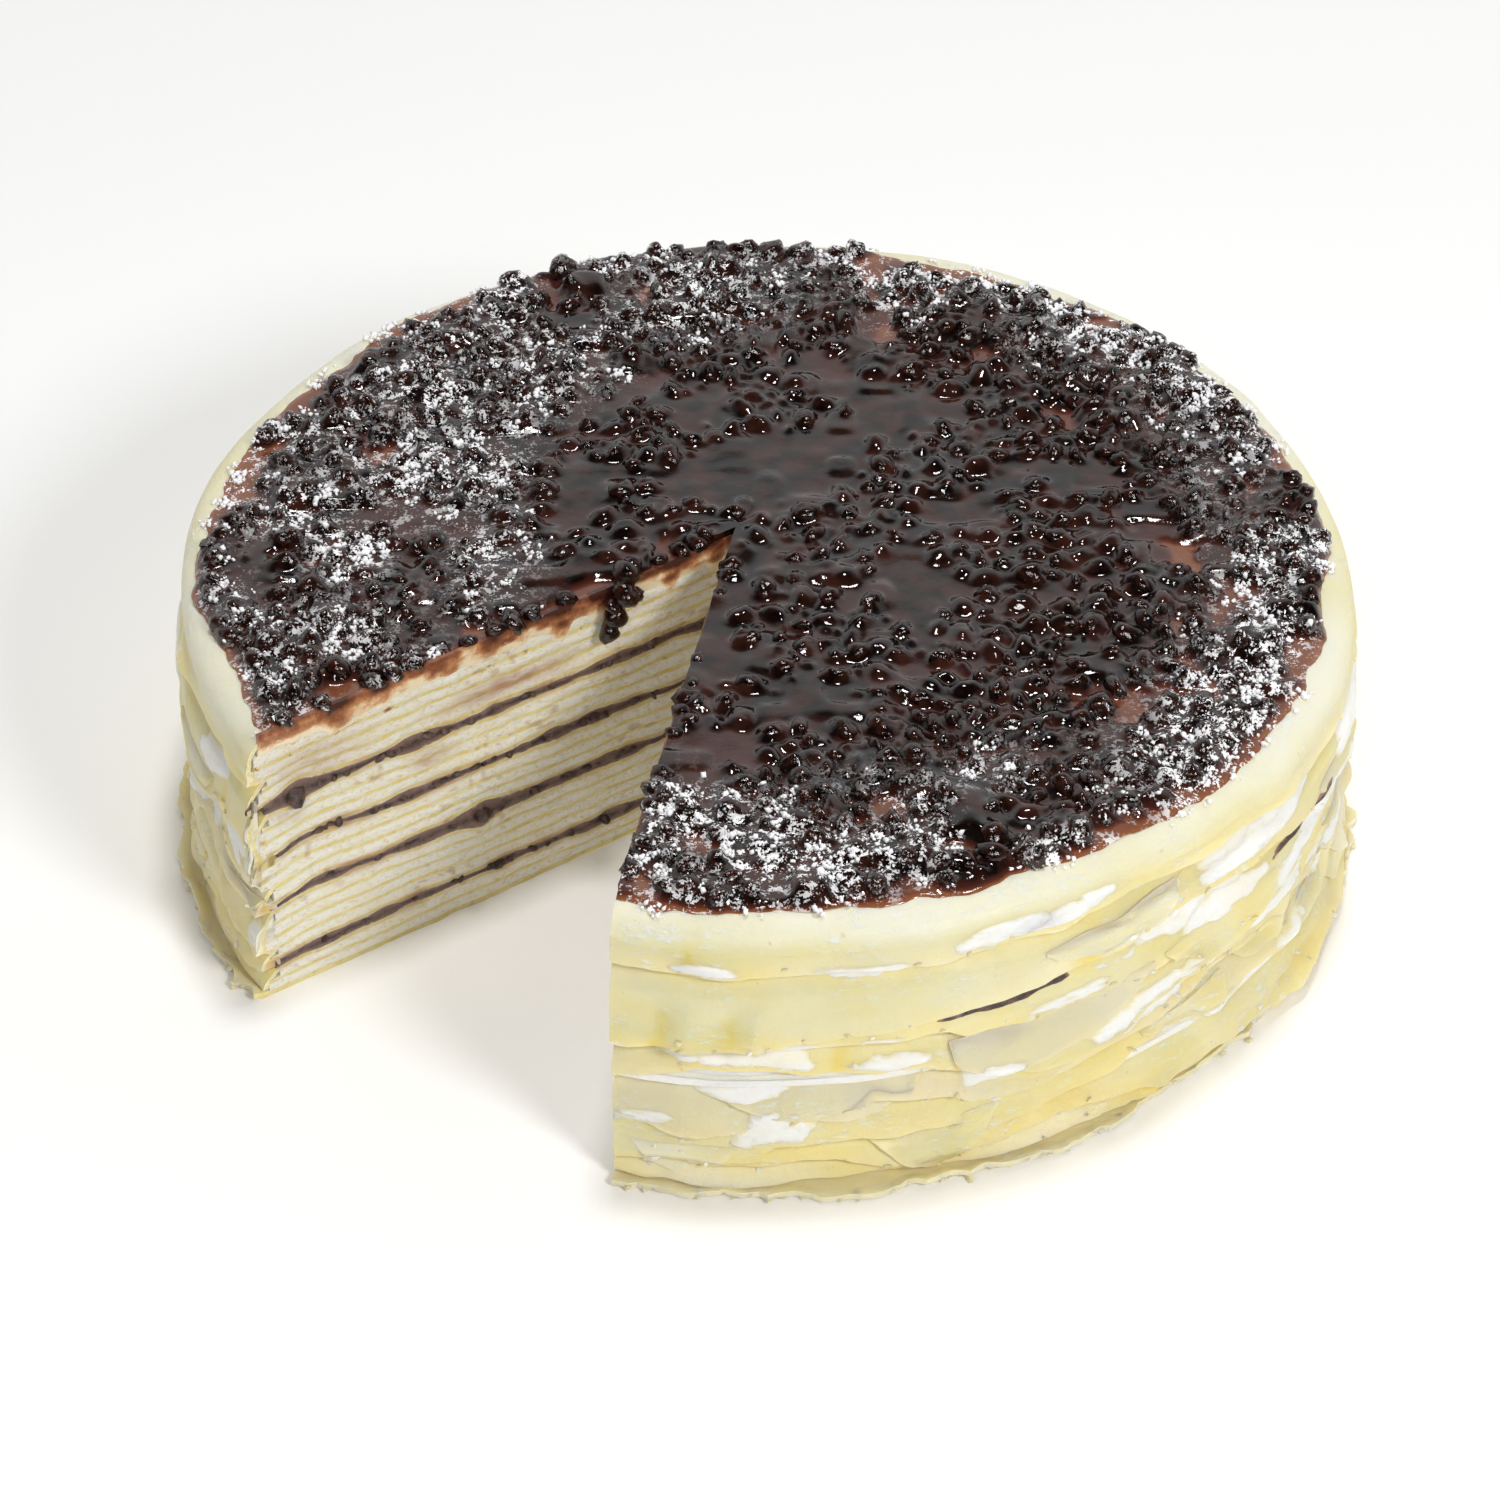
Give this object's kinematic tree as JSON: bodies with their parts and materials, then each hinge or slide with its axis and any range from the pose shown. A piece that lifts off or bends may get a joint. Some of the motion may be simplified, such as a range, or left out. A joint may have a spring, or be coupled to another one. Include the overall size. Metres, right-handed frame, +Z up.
{
  "type": "crepe cake",
  "caption": "Round layered crepe cake with one slice cut out, whipped cream and sweet bean layers, and a glossy bean glaze dusted with sugar.",
  "frame": {"origin": "middle of the cake's underside, on the surface that it stands on", "axes": "+Z up through the middle of the cake; the missing slice opens towards -X and -Y, between the directions 216 and 259 degrees from +X"},
  "size_m": [0.226, 0.226, 0.0663],
  "materials": {
    "crepe": "soft pale yellow cooked batter, slightly moist, faint brown freckles",
    "cream": "matt whipped cream",
    "bean_filling": "dark brown mashed sweet beans, moist",
    "glaze": "wet, glossy, dark brown bean glaze with whole beans, dusted with sugar"
  },
  "bodies": {
    "root": {"crepe_01": "crepe", "crepe_02": "crepe", "crepe_03": "crepe", "crepe_04": "crepe", "crepe_05": "crepe", "crepe_06": "crepe", "crepe_07": "crepe", "crepe_08": "crepe", "crepe_09": "crepe", "crepe_10": "crepe", "crepe_11": "crepe", "crepe_12": "crepe", "crepe_13": "crepe", "crepe_14": "crepe", "crepe_15": "crepe", "crepe_16": "crepe", "crepe_17": "crepe", "crepe_18": "crepe", "crepe_19": "crepe", "crepe_20": "crepe", "crepe_21": "crepe", "crepe_22": "crepe", "cream_01": "cream", "cream_02": "cream", "cream_03": "cream", "cream_04": "cream", "cream_05": "cream", "cream_06": "cream", "cream_07": "cream", "cream_08": "cream", "cream_09": "cream", "cream_10": "cream", "cream_11": "cream", "cream_12": "cream", "cream_13": "cream", "cream_14": "cream", "cream_15": "cream", "cream_16": "cream", "cream_17": "cream", "bean_filling_01": "bean_filling", "bean_filling_02": "bean_filling", "bean_filling_03": "bean_filling", "bean_filling_04": "bean_filling", "bean_glaze": "glaze"}
  },
  "joints": []
}
